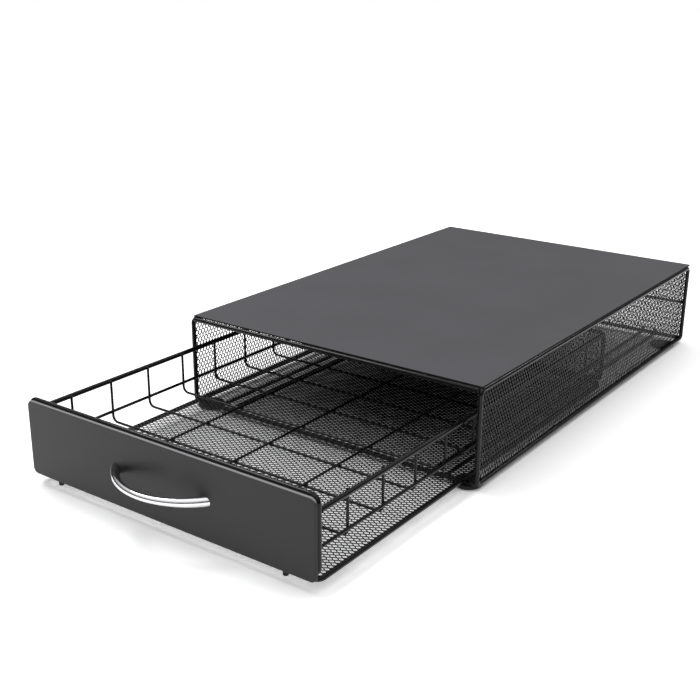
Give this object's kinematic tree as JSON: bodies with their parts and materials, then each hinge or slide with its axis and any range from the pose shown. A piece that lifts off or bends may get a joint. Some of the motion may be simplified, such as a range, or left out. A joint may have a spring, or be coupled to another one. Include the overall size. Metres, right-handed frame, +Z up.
{
  "type": "coffee pod drawer",
  "caption": "Low pull-out drawer of black wire and mesh under a flat dark grey steel top, with wire rows and lanes for round coffee pods and a chrome bow handle",
  "frame": {"origin": "Centre of the bounding box in X and Y with the drawer at its stored, partly open place, on the plane that the feet stand on", "axes": "+Z up, +Y towards the back, -Y the front that the drawer opens to, +X to the right as seen from the front"},
  "size_m": [0.2824, 0.6274, 0.082],
  "materials": {
    "black_wire": "glossy black enamel on round steel wire",
    "black_mesh": "semi-gloss black enamel on expanded steel mesh",
    "grey_coat": "fine-textured dark grey powder coat",
    "chrome_bow": "bright chrome plate",
    "bright_screw": "zinc plated steel",
    "black_rubber": "plain matt rubber"
  },
  "bodies": {
    "casing": {"top_plate": "grey_coat", "side_frame_left": "black_wire", "side_frame_right": "black_wire", "front_top_wire": "black_wire", "front_bottom_wire": "black_wire", "rear_top_wire": "black_wire", "rear_bottom_wire": "black_wire", "rear_brace_wire": "black_wire", "side_mesh_left": "black_mesh", "side_mesh_right": "black_mesh", "rear_mesh": "black_mesh", "slide_wires_left": "black_wire", "slide_wires_right": "black_wire", "foot_front_left": "black_rubber", "foot_front_right": "black_rubber", "foot_rear_left": "black_rubber", "foot_rear_right": "black_rubber"},
    "drawer": {"front_panel": "grey_coat", "handle": "chrome_bow", "handle_screws": "bright_screw", "basket_front_loop": "black_wire", "basket_rear_loop": "black_wire", "basket_bottom_loop": "black_wire", "top_rail_left": "black_wire", "top_rail_right": "black_wire", "lower_rail_left": "black_wire", "lower_rail_right": "black_wire", "floor_mesh": "black_mesh", "basket_rear_mesh": "black_mesh", "row_wire_01": "black_wire", "row_wire_02": "black_wire", "row_wire_03": "black_wire", "row_wire_04": "black_wire", "row_wire_05": "black_wire", "row_wire_06": "black_wire", "row_wire_07": "black_wire", "row_wire_08": "black_wire", "row_wire_09": "black_wire", "row_wire_10": "black_wire", "lane_wire_1": "black_wire", "lane_wire_2": "black_wire", "lane_wire_3": "black_wire", "bumper_left": "black_rubber", "bumper_right": "black_rubber"}
  },
  "joints": [
    {"name": "drawer_slide", "type": "slide", "parent": "casing", "child": "drawer", "axis": [0, -1, 0], "range_m": [-0.174, 0.166]}
  ]
}
